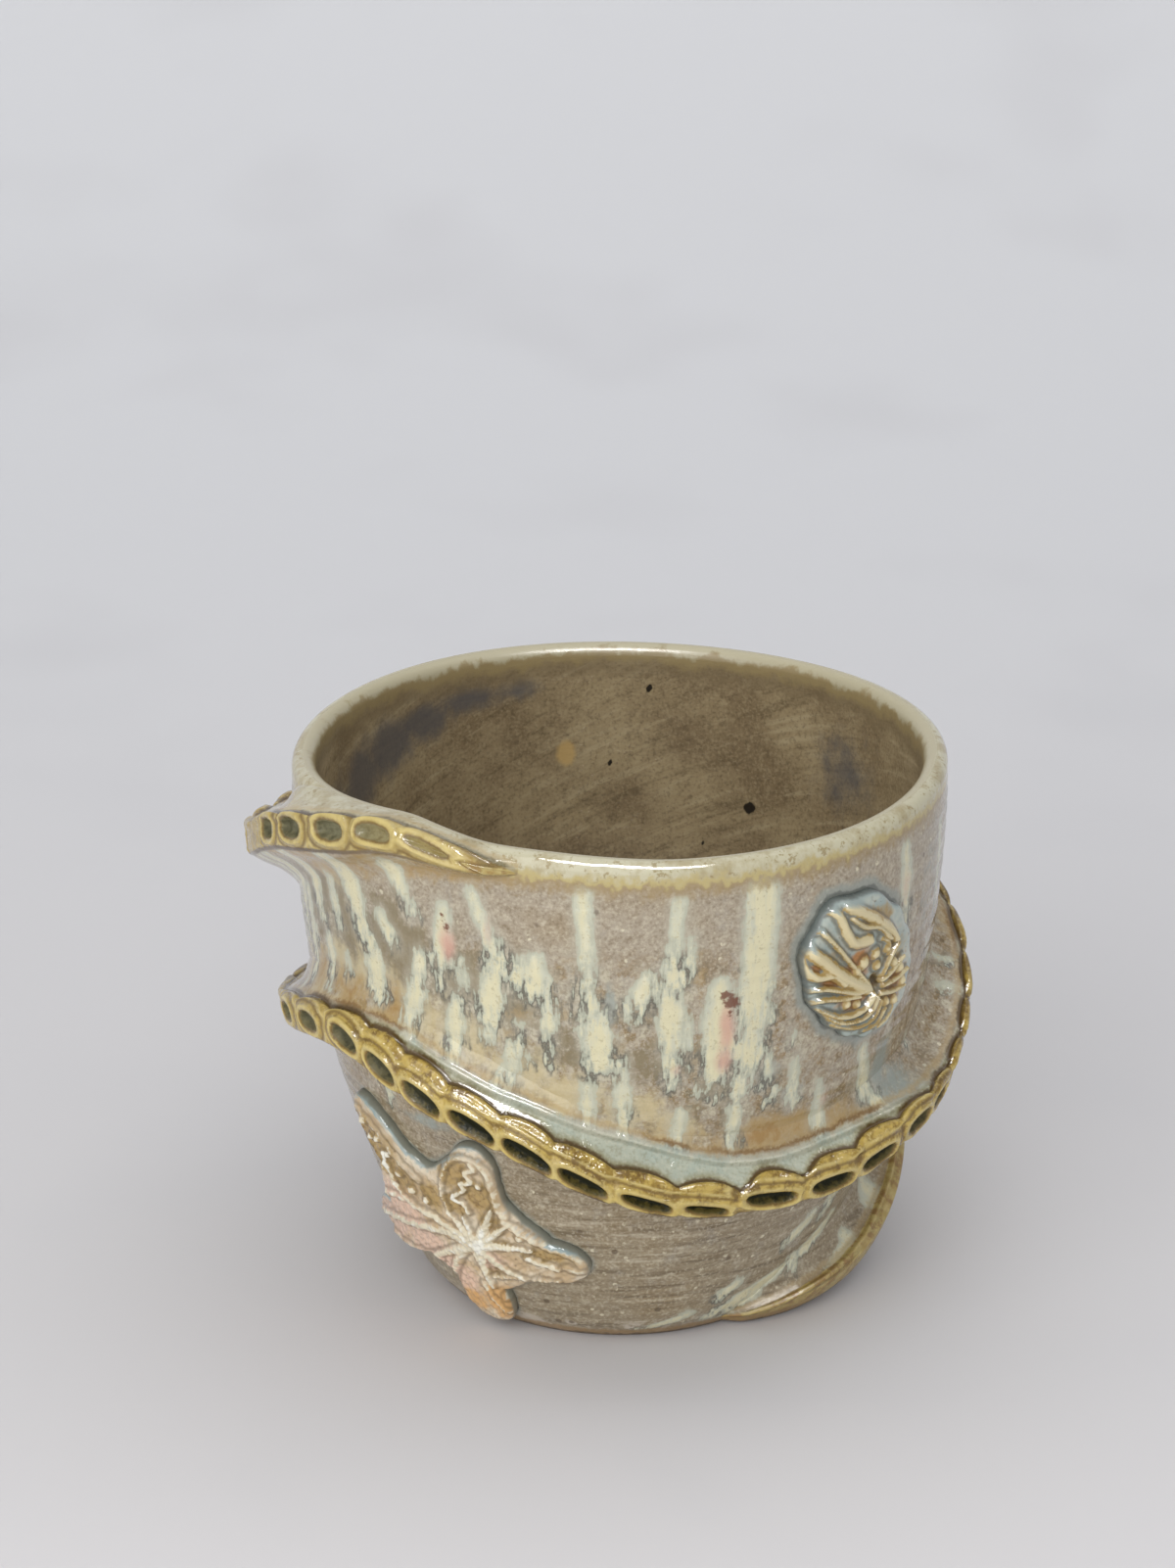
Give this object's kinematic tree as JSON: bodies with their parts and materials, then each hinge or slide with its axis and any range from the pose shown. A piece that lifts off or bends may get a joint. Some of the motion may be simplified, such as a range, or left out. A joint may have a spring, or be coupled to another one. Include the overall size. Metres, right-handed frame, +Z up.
{
  "type": "cup",
  "caption": "Handmade glazed stoneware cup without a handle, with a faceted spiral ridge from foot to rim and starfish and shell reliefs on its outside.",
  "frame": {"origin": "middle of the round foot, on the surface that the cup stands on", "axes": "+Z up out of the mouth, -Y towards the front as pictured, +X to the right of it"},
  "size_m": [0.1016, 0.0964, 0.0813],
  "materials": {
    "body_glaze": "glossy taupe glaze with cream runs",
    "ridge_glaze": "glossy ochre glaze, dark green in the cuts",
    "starfish_glaze": "glossy pinkish cream over ochre",
    "shell_glaze": "glossy blue grey pooled round ochre crests"
  },
  "bodies": {
    "root": {"cup_body": "body_glaze", "rim_ridge": "ridge_glaze", "waist_ridge": "ridge_glaze", "foot_ridge": "ridge_glaze", "starfish": "starfish_glaze", "shell_medallion": "shell_glaze"}
  },
  "joints": []
}
